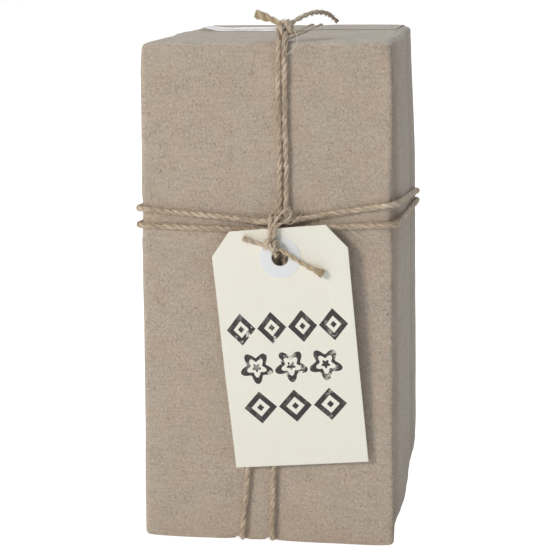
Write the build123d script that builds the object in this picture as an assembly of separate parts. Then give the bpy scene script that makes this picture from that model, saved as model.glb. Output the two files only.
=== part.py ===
from build123d import *
import math
import os

# Paper wrapped parcel: a sealed box in kraft paper that stands on its end, tied both ways with
# jute twine, with a card tag strung to the crossing. Millimetres, +Z up. The origin is the
# centre of the base, and the front, with the tag, faces -Y.

# Wrapped pack
pack_width = 90.0
pack_depth = 120.0
pack_height = 183.0
edge_round = 1.6
paper_step = 0.3  # folded layers of the wrapping stand this much above each other
top_flap_length = 44.0  # last flap over the top, hinged at the back edge
base_flap_length = 74.0  # last flap over the base, hinged at the front edge
flap_taper = 9.0  # each side of a flap runs in by this much at its free edge
seam_x = 25.0  # edge of the sheet's overlap, down the back

# Clear tape
tape_thickness = 0.1
tape_width = 19.0
tape_length = 32.0
top_tape_left = -37.0
base_tape_left = 8.0
seam_tape_foot = 45.0  # its lower end, above the base
flush_gap = 0.02  # the base tape lies this much inside the base

# Twine
twine_diameter = 2.1
twine_bite = 0.15  # pulled into the paper by this much
twine_clearance = 0.1
base_gap = 0.05  # from the base plane up to the twine under it
crossing_gap = 0.35  # between two twines where one passes over the other
strand_gap = 0.4  # between the two strands that run side by side down the front
string_gap = 1.0  # from those strands across to the tag's string
edge_bend = 2.5  # centre line's radius round an edge of the pack
groove_wall = 0.15  # the base grooves are this much wider than the twine's own groove, each side
groove_depth = 1.7

# Knots
knot_size = (6.6, 6.0, 5.2)
knot_centre_x = 7.3
knot_setback = 4.4  # its centre, behind the front face
knot_height = 4.0  # its centre, above the top face
tag_knot_size = (6.0, 4.2, 5.2)
tag_knot_centre = (3.1, 113.2)  # across and up
knot_round = 1.9

# Tag
tag_width = 48.0
tag_length = 87.0
tag_thickness = 0.6
tag_corner = (7.0, 8.5)  # cut off across and down
tag_top = (4.8, 118.7)  # middle of its top edge, across and up
tag_lean = 5.0  # degrees, its top to the left
tag_clearance = 0.2  # from the twine behind its top edge and its bottom edge
hole_diameter = 6.1
hole_below_top = 10.4
ring_diameter = 14.4
ring_thickness = 0.2

twine_radius = twine_diameter / 2
lift = twine_radius - twine_bite
over = lift + twine_diameter + crossing_gap
left = -pack_width / 2 - lift
right = pack_width / 2 + lift
front = -pack_depth / 2 - lift
back = pack_depth / 2 + lift
top = pack_height + lift
under = twine_radius + base_gap


def on_front(x, z, out=lift):
    return (x, -pack_depth / 2 - out, z)


def on_back(x, z, out=lift):
    return (x, pack_depth / 2 + out, z)


# The twine's route, from inside the knot: twice round the pack lengthwise, where it turns and
# hooks its own end at the back, then twice round crosswise, and over the top to the knot again.
knot_at = (knot_centre_x, -pack_depth / 2 + knot_setback, pack_height + knot_height)
strand_pitch = twine_diameter + strand_gap
strand_top_x = 5.2
strand_middle = (5.0, pack_height - 23.0)
strand_cross = (5.7, 121.0)
route_down_right = [
    (strand_top_x + strand_pitch, front + 4.7, pack_height + 3.4),
    (strand_top_x + strand_pitch, front, top),
    on_front(strand_middle[0] + strand_pitch, strand_middle[1]),
    on_front(strand_cross[0] + strand_pitch, strand_cross[1]),
    (0.6, front, under),
    (7.0, back, under),
    on_back(9.2, 109.7),
    (5.2, back, top),
]
route_down_left = [
    (strand_top_x, front, top),
    on_front(*strand_middle),
    on_front(*strand_cross),
    (-10.6, front, under),
    (2.0, back, under),
    on_back(3.4, 115.5),
    on_back(0.6, 115.3, over),
    on_back(-3.6, 114.9, over),
    on_back(-8.0, 114.3),
]
route_lower_lap = [
    (left, back, 108.7),
    (left, front, 118.2),
    on_front(-6.4, 117.2),
    on_front(-1.2, 117.3, over),
    on_front(10.2, 118.0, over),
    on_front(15.5, 118.3),
    (right, front, 119.8),
    (right, back, 108.2),
    on_back(15.5, 107.1),
    on_back(10.8, 106.9, over),
    on_back(1.4, 106.7, over),
    on_back(-3.3, 106.9),
    on_back(-15.5, 109.1),
    on_back(-20.5, 110.1, over),
    on_back(-35, 112.7, over),
    on_back(-40, 113.6),
]
route_upper_lap = [
    (left, back, 114.7),
    (left, front, 124.2),
    on_front(-6.4, 120.9),
    on_front(-1.2, 120.5, over),
    on_front(10.2, 121.4, over),
    on_front(15.5, 122.0),
    (right, front, 127.0),
    (right, back, 112.3),
    on_back(15.5, 111.5),
    on_back(11, 111.4, over),
    on_back(1.9, 111.3, over),
    on_back(-1.5, 111.0),
    (1.2, back, top),
    (3.0, front + 14.9, top),
    (4.5, front + 7.5, pack_height + 4.0),
]
twine_route = route_down_right + route_down_left + route_lower_lap + route_upper_lap

knot_tail_routes = {
    "knot_tail_left": [
        (6.1, front + 4.5, pack_height + 5.0),
        (3.0, front + 3.7, pack_height + 7.2),
        (-2.2, front + 3.3, pack_height + 8.7),
    ],
    "knot_tail_right": [
        (8.9, front + 5.7, pack_height + 5.4),
        (12.6, front + 8.9, pack_height + 7.6),
        (15.3, front + 14.9, pack_height + 7.8),
        (18.2, front + 20.9, pack_height + 6.2),
        (20.9, front + 27.4, pack_height + 3.2),
        (22.4, front + 31.3, pack_height + 0.9),
    ],
}

# The tag hangs on the twines that cross behind its top edge, and leans on those below.
tag_behind_top = over + twine_radius + tag_clearance
tag_behind_base = lift + twine_radius + tag_clearance
tag_tilt = math.degrees(math.asin((tag_behind_top - tag_behind_base) / tag_length))
tag_front = tag_behind_top + tag_thickness
string_out = tag_front + twine_radius + twine_clearance
string_in = twine_radius + twine_clearance
string_over = string_in + twine_diameter + twine_clearance
string_x = strand_cross[0] - twine_diameter - string_gap
hole_x = tag_top[0] + hole_below_top * math.sin(math.radians(tag_lean))
hole_z = tag_top[1] - hole_below_top * math.cos(math.radians(tag_lean))
hole_room = hole_diameter / 2 - twine_radius - twine_clearance

string_route = [
    on_front(string_x + 0.1, 114.6, string_out + 0.6),
    on_front(string_x, 119.2, string_out),
    on_front(string_x, 124.4, string_out - 0.7),
    on_front(string_x, 124.4, string_in),
    on_front(string_x - 0.4, 118.6, string_in),
    on_front(string_x - 2.3, 115.0, string_in),
    on_front(hole_x - 0.8 * hole_room, hole_z + 0.6 * hole_room, string_over),
    on_front(hole_x - 0.55 * hole_room, hole_z + 0.25 * hole_room, string_out + 0.6),
    on_front(string_x + 0.8, 112.1, string_out + 0.8),
]
tag_tail_routes = {
    "tag_tail_left": [
        on_front(1.3, 112.8, string_out + 0.7),
        on_front(-2.6, 113.8, string_out + 0.5),
        on_front(-6.9, 115.3, string_out + 0.1),
    ],
    "tag_tail_right": [
        on_front(5.5, 112.2, string_out + 1.1),
        on_front(9.5, 109.6, string_out + 0.7),
        on_front(14.2, 106.3, string_out + 0.2),
        on_front(19.9, 103.6, string_out),
    ],
}


def is_edge(point):
    """Is this point of the route outside two faces of the pack at once?"""
    x, y, z = point
    outside_x = abs(x) > pack_width / 2
    outside_y = abs(y) > pack_depth / 2
    outside_z = z > pack_height or z < twine_diameter
    return outside_x + outside_y + outside_z > 1


def bend_radii(points):
    """The radius at each inner point: the pack's edge, or as wide as the two runs allow."""
    radii = []
    for before, here, after in zip(points, points[1:], points[2:]):
        run_in = Vector(*here) - Vector(*before)
        run_out = Vector(*after) - Vector(*here)
        half_turn = math.radians(run_in.get_angle(run_out)) / 2
        widest = 0.45 * min(run_in.length, run_out.length) / math.tan(half_turn)
        radii.append(min(widest, edge_bend) if is_edge(here) else widest)
    return radii


def twine_tube(points, radius=twine_radius):
    """A round tube of straight runs and tangent arcs through the points."""
    path = FilletPolyline(*points, radius=bend_radii(points))
    return sweep(Plane(path @ 0, z_dir=path % 0) * Circle(radius), path)


def thick(points):
    """The room that a twine needs in what it is pressed into."""
    return twine_tube(points, twine_radius + twine_clearance)


def fold_relief(flap_length):
    """What is missing from a full block over one end, where the folded paper has fewer layers.
    The last flap is hinged at the back edge, and the outside of the paper is at z = 0."""
    half = pack_width / 2
    hinge = pack_depth / 2
    free = hinge - flap_length
    inner = half - flap_taper
    margin = 1.0
    whole_end = Rectangle(pack_width + 2 * margin, pack_depth + 2 * margin)
    last_flap = Polygon(
        (-half, hinge + margin), (-inner, free), (inner, free), (half, hinge + margin), align=None
    )
    first_flap = Polygon(
        (-half, -hinge - margin), (half, -hinge - margin), (inner, free), (-inner, free), align=None
    )
    under_last = Pos(0, 0, -paper_step) * extrude(whole_end - last_flap, paper_step + margin)
    beside_both = whole_end - last_flap - first_flap
    under_both = Pos(0, 0, -2 * paper_step) * extrude(beside_both, 2 * paper_step + margin)
    return under_last + under_both


def end_tape(flap_length, x_left, sink=0.0):
    """A strip of tape across a flap's free edge, bent down over the step."""
    free = pack_depth / 2 - flap_length
    half = tape_width / 2
    low = -paper_step
    lower = [(free + half, 0), (free, 0), (free, low), (free - half, low)]
    upper = [(free - half, low), (free - tape_thickness, low), (free - tape_thickness, 0), (free + half, 0)]
    outline = [(y, z - sink) for y, z in lower] + [(y, z - sink + tape_thickness) for y, z in upper]
    profile = Plane.YZ * Polygon(*outline, align=None)
    return Pos(x_left, 0, 0) * extrude(profile, tape_length, dir=(1, 0, 0))


def base_grooves():
    """The slots that the two twines under the pack have pressed into its base."""
    width = twine_diameter + 2 * (twine_clearance + groove_wall)
    slots = []
    ends = [p for p in twine_route if p[2] == under]
    for start, end in zip(ends[::2], ends[1::2]):
        run = Vector(*end) - Vector(*start)
        middle = (Vector(*start) + Vector(*end)) / 2
        turn = math.degrees(math.atan2(run.Y, run.X))
        slot = Box(run.length, width, 2 * groove_depth)
        slots.append(Pos(middle.X, middle.Y, 0) * Rot(0, 0, turn) * slot)
    return slots


def wrapped_pack(pressed_in):
    """The sealed box in its paper, one solid: folded ends, back seam and the twine's grooves."""
    body = Box(pack_width, pack_depth, pack_height, align=(Align.CENTER, Align.CENTER, Align.MIN))
    body = fillet(body.edges(), edge_round)
    body -= Pos(0, 0, pack_height) * fold_relief(top_flap_length)
    body -= Rot(180, 0, 0) * fold_relief(base_flap_length)
    beside_seam = Box(pack_width, 2 * paper_step, 3 * pack_height)
    body -= Pos(seam_x + pack_width / 2, pack_depth / 2, 0) * beside_seam
    for piece in pressed_in + base_grooves():
        body -= piece
    return body


def seam_tape():
    """The strip across the back seam."""
    half = tape_width / 2
    low = -paper_step
    outline = [
        (seam_x - half, 0),
        (seam_x, 0),
        (seam_x, low),
        (seam_x + half, low),
        (seam_x + half, low + tape_thickness),
        (seam_x + tape_thickness, low + tape_thickness),
        (seam_x + tape_thickness, tape_thickness),
        (seam_x - half, tape_thickness),
    ]
    profile = Polygon(*outline, align=None)
    return Pos(0, pack_depth / 2, seam_tape_foot) * extrude(profile, tape_length)


def rounded_knot(size, centre, passages):
    """A closed rounded lump with room for the twines that go into it."""
    lump = Box(*size)
    lump = Pos(*centre) * fillet(lump.edges(), knot_round)
    for passage in passages:
        lump -= passage
    return lump


def tag_place():
    """The tag's own frame: its top edge's middle, on its back, x across and z up."""
    x, z = tag_top
    return Pos(x, -pack_depth / 2 - tag_behind_top, z) * Rot(0, -tag_lean, 0) * Rot(tag_tilt, 0, 0)


def gift_tag():
    """The card with its two cut corners and its hole."""
    half = tag_width / 2
    cut_x, cut_z = tag_corner
    outline = Polygon(
        (-half + cut_x, 0),
        (half - cut_x, 0),
        (half, -cut_z),
        (half, -tag_length),
        (-half, -tag_length),
        (-half, -cut_z),
        align=None,
    )
    hole = Pos(0, -hole_below_top) * Circle(hole_diameter / 2)
    return tag_place() * extrude(Plane.XZ * (outline - hole), tag_thickness, dir=(0, -1, 0))


def hole_ring():
    """The paper ring that strengthens the hole, on the card's face."""
    ring = Circle(ring_diameter / 2) - Circle(hole_diameter / 2)
    flat = Plane.XZ * (Pos(0, -hole_below_top) * ring)
    return tag_place() * Pos(0, -tag_thickness, 0) * extrude(flat, ring_thickness, dir=(0, -1, 0))


twine_room = thick(twine_route)
tail_room = {name: thick(points) for name, points in (knot_tail_routes | tag_tail_routes).items()}
string_room = thick(string_route)
top_tape = Pos(0, 0, pack_height) * end_tape(top_flap_length, top_tape_left)
base_tape = Rot(180, 0, 0) * end_tape(base_flap_length, base_tape_left, tape_thickness + flush_gap)
tag_knot_place = on_front(*tag_knot_centre, tag_front + ring_thickness + tag_knot_size[1] / 2)

nodes = {
    "wrapped_pack": wrapped_pack([twine_room, base_tape]),
    "top_end_tape": top_tape,
    "base_end_tape": base_tape,
    "back_seam_tape": seam_tape(),
    "parcel_twine": twine_tube(twine_route),
    "top_knot": rounded_knot(
        knot_size, knot_at, [twine_room, tail_room["knot_tail_left"], tail_room["knot_tail_right"]]
    ),
    "gift_tag": gift_tag(),
    "hole_ring": hole_ring(),
    "tag_string": twine_tube(string_route),
    "tag_knot": rounded_knot(
        tag_knot_size,
        tag_knot_place,
        [string_room, tail_room["tag_tail_left"], tail_room["tag_tail_right"]],
    ),
}
for name, points in (knot_tail_routes | tag_tail_routes).items():
    nodes[name] = twine_tube(points)

os.makedirs("parts", exist_ok=True)
for name, shape in nodes.items():
    export_step(shape, f"parts/{name}.step")

all_routes = {"parcel_twine": twine_route, "tag_string": string_route}
for name, points in (all_routes | knot_tail_routes | tag_tail_routes).items():
    path = FilletPolyline(*points, radius=bend_radii(points))
    expected = math.pi * twine_radius**2 * path.length
    radii = ", ".join(f"{radius:.1f}" for radius in bend_radii(points))
    print(f"{name}: length {path.length:.1f}, volume {nodes[name].volume:.1f} of {expected:.1f}")
    print(f"  radii {radii}")
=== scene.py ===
import math
import random
import bmesh
import bpy
from mathutils import Matrix, Vector, noise


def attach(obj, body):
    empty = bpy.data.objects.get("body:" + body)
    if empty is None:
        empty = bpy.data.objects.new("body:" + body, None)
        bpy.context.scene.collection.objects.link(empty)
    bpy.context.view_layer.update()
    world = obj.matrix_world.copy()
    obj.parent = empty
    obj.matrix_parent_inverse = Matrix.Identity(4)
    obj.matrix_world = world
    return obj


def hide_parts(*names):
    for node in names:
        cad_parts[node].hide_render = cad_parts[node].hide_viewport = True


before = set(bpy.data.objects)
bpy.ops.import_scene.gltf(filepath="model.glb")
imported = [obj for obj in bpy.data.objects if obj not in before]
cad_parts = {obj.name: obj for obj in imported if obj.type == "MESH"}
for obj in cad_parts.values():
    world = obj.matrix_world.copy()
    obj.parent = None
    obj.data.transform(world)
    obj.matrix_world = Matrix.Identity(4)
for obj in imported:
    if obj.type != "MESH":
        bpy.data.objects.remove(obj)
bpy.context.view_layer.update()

# Every size is in millimetres here and becomes metres through MM.
MM = 0.001
PACK_WIDTH = 90.0
PACK_DEPTH = 120.0
PACK_HEIGHT = 183.0
# The twine's thickness, and the length in which its two strands go once round each other.
TWINE = 2.1
LAY = 6.4

# The twine's routes. They are those of the CAD source, with one more point each side of an edge
# that the twine goes round, and with these changes: over the top it lies 2 mm deeper in the
# paper, the right tail rises up to 4 mm higher, the tag's string turns 1.5 mm lower behind the
# crossing, and a few points on the front and under the base move by 0.2 mm.
PARCEL_ROUTE = [
    (7.6, -56.2, 186.4), (7.6, -60.9, 183.9), (7.5, -60.9, 176.0), (7.3, -60.9, 160.0),
    (8.0, -60.9, 121.0), (2.2, -60.9, 45.0), (1.1, -60.9, 9.0), (0.6, -60.9, 1.3),
    (1.0, -53.0, 1.3), (6.6, 53.0, 1.3), (7.0, 60.9, 1.3), (7.2, 60.9, 9.0),
    (9.2, 60.9, 109.7), (5.6, 60.9, 176.0), (5.2, 60.5, 182.1), (5.2, 53.0, 181.8),
    (5.3, -49.0, 181.9), (5.4, -60.9, 183.9), (5.3, -60.9, 176.0), (5.2, -60.9, 160.0),
    (5.8, -60.9, 121.0), (-6.0, -60.9, 45.0), (-9.5, -60.9, 9.0), (-10.6, -60.9, 1.3),
    (-9.8, -53.0, 1.3), (1.2, 53.0, 1.3), (2.0, 60.9, 1.3), (2.1, 60.9, 9.0),
    (3.2, 60.9, 107.5), (3.4, 60.9, 115.5), (0.6, 63.35, 115.3), (-3.6, 63.35, 114.9),
    (-8.0, 60.9, 114.3), (-38.0, 60.9, 109.9), (-45.9, 60.9, 108.7), (-45.9, 53.0, 109.3),
    (-45.9, -53.0, 117.6), (-45.9, -60.9, 118.2), (-38.0, -60.9, 118.0), (-6.4, -60.9, 117.2),
    (-1.2, -63.35, 117.3), (10.2, -63.35, 118.0), (15.5, -60.9, 118.3), (38.0, -60.9, 119.4),
    (45.9, -60.9, 119.8), (45.9, -53.0, 119.0), (45.9, 53.0, 109.0), (45.9, 60.9, 108.2),
    (38.0, 60.9, 107.9), (15.5, 60.9, 107.1), (10.8, 63.35, 106.9), (1.4, 63.35, 106.7),
    (-3.3, 60.9, 106.9), (-15.5, 60.9, 109.1), (-20.5, 63.35, 110.1), (-35.0, 63.35, 112.7),
    (-40.0, 60.9, 113.6), (-45.9, 60.9, 114.7), (-45.9, 53.0, 115.3), (-45.9, -53.0, 123.6),
    (-45.9, -60.9, 124.2), (-38.0, -60.9, 123.5), (-6.4, -60.9, 120.9), (-1.2, -63.35, 120.5),
    (10.2, -63.35, 121.4), (15.5, -60.9, 122.0), (38.0, -60.9, 125.7), (45.9, -60.9, 127.0),
    (45.9, -53.0, 126.0), (45.9, 53.0, 113.3), (45.9, 60.9, 112.3), (38.0, 60.9, 112.1),
    (15.5, 60.9, 111.5), (11.0, 63.35, 111.4), (1.9, 63.35, 111.3), (-1.5, 60.9, 111.0),
    (-1.2, 60.9, 119.0), (0.9, 60.9, 176.0), (1.2, 60.5, 182.1), (1.3, 53.0, 181.8),
    (3.0, -46.0, 181.9), (4.5, -53.4, 187.0),
]
LEFT_TAIL_ROUTE = [(6.1, -56.4, 188.0), (3.0, -57.2, 190.2), (-2.2, -57.6, 191.7)]
RIGHT_TAIL_ROUTE = [
    (8.9, -55.2, 188.4), (12.8, -52.0, 190.9), (16.0, -46.0, 191.9),
    (18.6, -40.0, 191.6), (20.6, -33.5, 190.0), (21.8, -28.6, 187.8),
]
STRING_ROUTE = [
    (2.7, -66.95, 114.6), (2.6, -66.35, 119.2), (2.8, -65.65, 122.9), (2.8, -61.15, 122.9),
    (2.2, -61.15, 118.6), (0.3, -61.15, 115.0), (4.19, -63.35, 109.48), (4.66, -66.95, 108.8),
    (3.4, -67.15, 112.1),
]
# The second strand of the tag's string, and a slack loop of twine at the crossing.
LOOP_ROUTE = [
    (3.6, -67.2, 113.6), (4.3, -66.6, 118.6), (4.5, -65.9, 121.6), (4.3, -64.2, 123.0),
    (4.2, -61.6, 122.8), (4.1, -61.3, 120.4),
]
CROSSING_LOOP = [
    (3.2, -66.6, 119.4), (4.6, -66.4, 121.6), (6.2, -65.6, 123.8), (8.2, -64.4, 125.8),
    (9.9, -64.0, 124.8), (9.3, -65.2, 122.2), (7.0, -66.0, 120.8), (4.6, -66.4, 120.0),
    (3.4, -66.6, 117.6),
]
TAG_LEFT_ROUTE = [(1.3, -67.05, 112.8), (-2.6, -66.85, 113.8), (-6.9, -66.45, 115.3)]
TAG_RIGHT_ROUTE = [
    (5.5, -67.45, 112.2), (9.5, -67.05, 109.6), (14.2, -66.55, 106.3), (19.9, -66.35, 103.6),
]

# Long fibres that have come loose at the knot and at the crossing.
STRAY_FIBRES = [
    [(9.8, -57.5, 187.0), (12.6, -62.0, 184.8), (11.8, -63.0, 180.6), (8.6, -61.8, 178.4)],
    [(7.4, -62.0, 124.6), (9.6, -63.8, 127.2), (9.2, -64.4, 123.2), (6.4, -64.6, 120.8)],
    [(4.6, -62.2, 126.0), (2.6, -63.6, 124.4), (3.6, -64.8, 121.8), (7.2, -65.0, 122.6)],
    [(6.6, -64.6, 121.4), (9.0, -65.0, 119.6), (11.8, -64.4, 121.6), (13.4, -63.2, 124.0)],
    [(28.4, -62.0, 119.6), (31.0, -62.6, 116.6), (35.0, -62.2, 115.2)],
]

# The knots: one turn round the parcel's twine and one strap pulled over it.
TOP_KNOT_WRAP = [
    (4.7, -56.2, 187.6), (5.7, -58.4, 187.9), (6.5, -58.6, 185.6), (6.9, -56.0, 184.9),
    (7.3, -53.3, 186.3), (7.6, -53.9, 188.9), (8.0, -56.3, 189.5), (8.5, -58.3, 187.8),
    (9.0, -57.6, 185.7), (9.7, -55.6, 185.4),
]
TOP_KNOT_STRAP = [
    (6.1, -53.6, 185.2), (5.1, -54.8, 187.2), (6.1, -56.9, 189.2), (8.1, -57.4, 189.0),
    (9.6, -56.4, 187.4), (9.2, -54.6, 185.8), (7.5, -53.6, 185.0),
]
TAG_KNOT_WRAP = [
    (1.1, -67.0, 112.0), (1.7, -69.0, 113.1), (2.4, -69.1, 115.0), (2.8, -66.8, 115.4),
    (3.2, -65.9, 113.4), (3.5, -67.0, 111.3), (3.9, -69.1, 111.8), (4.3, -69.0, 113.8),
    (4.9, -67.4, 114.4), (5.5, -66.8, 113.6),
]
TAG_KNOT_STRAP = [
    (1.5, -66.9, 114.4), (2.3, -69.0, 114.4), (3.7, -69.3, 112.7), (5.0, -68.2, 111.6),
    (5.1, -66.6, 111.8),
]


# ---------------------------------------------------------------- small helpers

def span(value, low, high):
    """How far value is from low to high, eased, from 0 to 1."""
    t = min(1.0, max(0.0, (value - low) / (high - low)))
    return t * t * (3.0 - 2.0 * t)


def hump(value, centre, width):
    """1 at the centre, falling smoothly to nothing on both sides of it."""
    return math.exp(-((value - centre) / width) ** 2)


def keep(name, mesh, material, nodes=()):
    """A finished piece: in the scene and on the body, with the CAD nodes it stands for hidden."""
    piece = bpy.data.objects.new(name, mesh)
    bpy.context.scene.collection.objects.link(piece)
    mesh.materials.clear()
    mesh.materials.append(material)
    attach(piece, "root")
    if nodes:
        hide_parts(*nodes)
    return piece


def mesh_from(bm, name, smooth=True):
    """The mesh that a bmesh holds, with the bmesh itself freed."""
    mesh = bpy.data.meshes.new(name)
    bm.to_mesh(mesh)
    bm.free()
    mesh.polygons.foreach_set("use_smooth", [smooth] * len(mesh.polygons))
    return mesh


def curve_mesh(curve, name):
    """The mesh of a curve, with the curve itself removed."""
    holder = bpy.data.objects.new(name, curve)
    bpy.context.scene.collection.objects.link(holder)
    mesh = bpy.data.meshes.new_from_object(holder)
    bpy.data.objects.remove(holder)
    bpy.data.curves.remove(curve)
    mesh.name = name
    return mesh


def route_line(name, route):
    """The smooth line that follows a route: a spline with the route's points as its control points."""
    curve = bpy.data.curves.new(name, "CURVE")
    curve.dimensions = "3D"
    curve.resolution_u = 24
    spline = curve.splines.new("NURBS")
    spline.points.add(len(route) - 1)
    for point, place in zip(spline.points, route):
        point.co = (place[0] * MM, place[1] * MM, place[2] * MM, 1.0)
    spline.order_u = 3
    spline.use_endpoint_u = True
    mesh = curve_mesh(curve, name)
    line = [v.co.copy() for v in mesh.vertices]
    bpy.data.meshes.remove(mesh)
    return line


def even_line(line, step):
    """The same line with its points a step apart."""
    lengths = [0.0]
    for a, b in zip(line, line[1:]):
        lengths.append(lengths[-1] + (b - a).length)
    count = max(2, round(lengths[-1] / step))
    points = []
    k = 0
    for i in range(count + 1):
        goal = lengths[-1] * i / count
        while k < len(lengths) - 2 and lengths[k + 1] < goal:
            k += 1
        part = (goal - lengths[k]) / max(lengths[k + 1] - lengths[k], 1e-9)
        points.append(line[k].lerp(line[k + 1], part))
    return points, lengths[-1]


def side_frames(points):
    """Two directions across the line at each point, carried along it without twist."""
    frames = []
    side = None
    for i, point in enumerate(points):
        ahead = (points[min(i + 1, len(points) - 1)] - points[max(i - 1, 0)]).normalized()
        if side is None:
            side = ahead.orthogonal()
        side = (side - ahead * side.dot(ahead)).normalized()
        frames.append((ahead, side.copy(), ahead.cross(side)))
    return frames


def tube_curve(name, radius, sides=1):
    """An empty curve whose lines will be round tubes. sides is its bevel resolution."""
    curve = bpy.data.curves.new(name, "CURVE")
    curve.dimensions = "3D"
    curve.bevel_depth = radius
    curve.bevel_resolution = sides
    curve.use_fill_caps = True
    return curve


def add_line(curve, points, radii):
    """One more tube in a curve, with its own share of the radius at each point."""
    spline = curve.splines.new("POLY")
    spline.points.add(len(points) - 1)
    for point, place, radius in zip(spline.points, points, radii):
        point.co = (place.x, place.y, place.z, 1.0)
        point.radius = radius


# ---------------------------------------------------------------- twine

# A strand's radius as a share of the twine's thickness, and how thick loose fibres are.
STRAND_SHARE = 0.31
HAIR_RADIUS = 0.05
FIBRE_RADIUS = 0.065
BRUSH_RADIUS = 0.075
STRAY_RADIUS = 0.11


def laid_twine(name, line, diameter, flare=0.0, seed=1, step=0.62, swell=0.0):
    """Two strands laid round a line. At the line's end, where it was cut, flare opens the strands
    and swell thickens them."""
    dice = random.Random(seed)
    points, length = even_line(line, step * MM)
    frames = side_frames(points)
    curve = tube_curve(name, diameter * STRAND_SHARE * MM)
    turn = dice.uniform(0.0, math.tau)
    wander = dice.uniform(0.0, 50.0)
    strands = ([], [])
    sizes = ([], [])
    along = 0.0
    for i, (point, (ahead, side, up)) in enumerate(zip(points, frames)):
        if i:
            gap = (point - points[i - 1]).length
            along += gap
            pitch = LAY * MM * (1.0 + 0.16 * noise.noise(Vector((along * 60.0, wander, 0.0))))
            turn += math.tau * gap / pitch
        thick = 1.0 + 0.13 * noise.noise(Vector((along * 90.0, wander, 7.0)))
        opening = flare * (1.0 - span(length - along, 0.0, 3.2 * MM))
        grown = 1.0 + swell * (1.0 - span(length - along, 0.0, 7.5 * MM))
        for k in (0, 1):
            angle = turn + k * math.pi
            away = diameter * (0.2 + 0.3 * opening) * MM * thick * grown
            strands[k].append(point + (side * math.cos(angle) + up * math.sin(angle)) * away)
            uneven = 1.0 + 0.12 * noise.noise(Vector((along * 240.0, wander, 3.0 * k)))
            sizes[k].append(thick * uneven * grown * (1.0 + 0.25 * opening))
    for strand, size in zip(strands, sizes):
        add_line(curve, strand, size)
    mesh = curve_mesh(curve, name)
    # The texture runs along the twine in metres.
    for loop in mesh.uv_layers[0].data:
        loop.uv = (loop.uv[0] * length, loop.uv[1] * 0.006)
    return mesh


def hairs(name, lines, per_metre, reach, seed, keep_off):
    """Loose fibres standing off the twine, apart from those that would be where keep_off says."""
    dice = random.Random(seed)
    curve = tube_curve(name, HAIR_RADIUS * MM, 0)
    curve.use_fill_caps = False
    for line in lines:
        points, length = even_line(line, 0.8 * MM)
        frames = side_frames(points)
        for _ in range(round(per_metre * length)):
            i = dice.randrange(1, len(points) - 1)
            ahead, side, up = frames[i]
            angle = dice.uniform(0.0, math.tau)
            out = side * math.cos(angle) + up * math.sin(angle)
            run = ahead * dice.choice((-1.0, 1.0))
            far = (0.3 + 0.7 * dice.random() ** 2.2) * reach * MM
            slant = dice.uniform(0.5, 2.2)
            curl = Vector([dice.uniform(-0.35, 0.35) for _ in range(3)])
            start = points[i] + out * TWINE * 0.36 * MM
            middle = start + (out * 0.55 + run * slant * 0.6 + curl * 0.3) * far * 0.6
            tip = start + (out * 0.8 + run * slant + curl) * far
            if keep_off(middle) or keep_off(tip):
                continue
            add_line(curve, [start, middle, tip], [1.0, 0.8, 0.3])
    return curve_mesh(curve, name)


def surface_fibres(name, line, per_metre, seed):
    """Fibres that lie along the twine and wander round it, so that the two strands look hairy."""
    dice = random.Random(seed)
    curve = tube_curve(name, FIBRE_RADIUS * MM, 0)
    curve.use_fill_caps = False
    points, length = even_line(line, 0.7 * MM)
    frames = side_frames(points)
    for _ in range(round(per_metre * length)):
        i = dice.randrange(0, len(points) - 7)
        angle = dice.uniform(0.0, math.tau)
        swing = dice.uniform(0.05, 0.62)
        high = dice.uniform(0.42, 0.52) * TWINE * MM
        place = []
        for k in range(4):
            ahead, side, up = frames[i + 2 * k]
            turn = angle + swing * k
            lift = high + (0.16 * MM * dice.random() if k in (0, 3) else 0.0)
            place.append(points[i + 2 * k] + (side * math.cos(turn) + up * math.sin(turn)) * lift)
        add_line(curve, place, [0.5, 1.0, 1.0, 0.4])
    return curve_mesh(curve, name)


def brush_end(curve, tip, ahead, count, reach, spread, dice, wide):
    """The fibres of a cut end, spreading from the last turn of the twine."""
    side = ahead.orthogonal().normalized()
    up = ahead.cross(side)
    for _ in range(count):
        angle = dice.uniform(0.0, math.tau)
        out = side * math.cos(angle) + up * math.sin(angle)
        root = tip - ahead * 2.0 * MM + out * wide * math.sqrt(dice.random()) * MM
        far = dice.uniform(0.75, 1.0) * reach * MM
        bend = out * dice.uniform(0.1, 1.0) * spread
        middle = root + ahead * far * 0.55 + bend * far * 0.35
        end = root + (ahead + bend).normalized() * far
        add_line(curve, [root, middle, end], [1.6, 1.5, 0.9])


def tail(name, route, seed, flare, swell, count, reach, spread, diameter=TWINE):
    """A loose end of the twine, opened and frayed where it was cut. count fibres of length reach
    stand out of the cut, up to spread to the side."""
    dice = random.Random(seed)
    line = route_line(name, route)
    body = laid_twine(name, line, diameter, flare, seed, 0.45, swell)
    points, _ = even_line(line, 0.5 * MM)
    ahead = (points[-1] - points[-3]).normalized()
    curve = tube_curve(name + "_fibres", BRUSH_RADIUS * MM, 0)
    brush_end(curve, points[-1], ahead, count, reach, spread, dice, 0.8 * (1.0 + swell))
    fibres = curve_mesh(curve, name + "_fibres")
    return line, joined(name, [body, fibres])


def joined(name, meshes):
    """Several meshes as one, with their texture coordinates kept."""
    bm = bmesh.new()
    for mesh in meshes:
        bm.from_mesh(mesh)
        bpy.data.meshes.remove(mesh)
    return mesh_from(bm, name)


def tied(name, node, material, parts):
    """Short routes of twine as one piece. It gives back their lines, for the fibres on them."""
    lines = []
    meshes = []
    for label, route, diameter, seed, step in parts:
        line = route_line(label, route)
        lines.append(line)
        meshes.append(laid_twine(label, line, diameter, seed=seed, step=step))
    keep(name, joined(name, meshes), material, [node])
    return lines


# ---------------------------------------------------------------- paper

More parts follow.
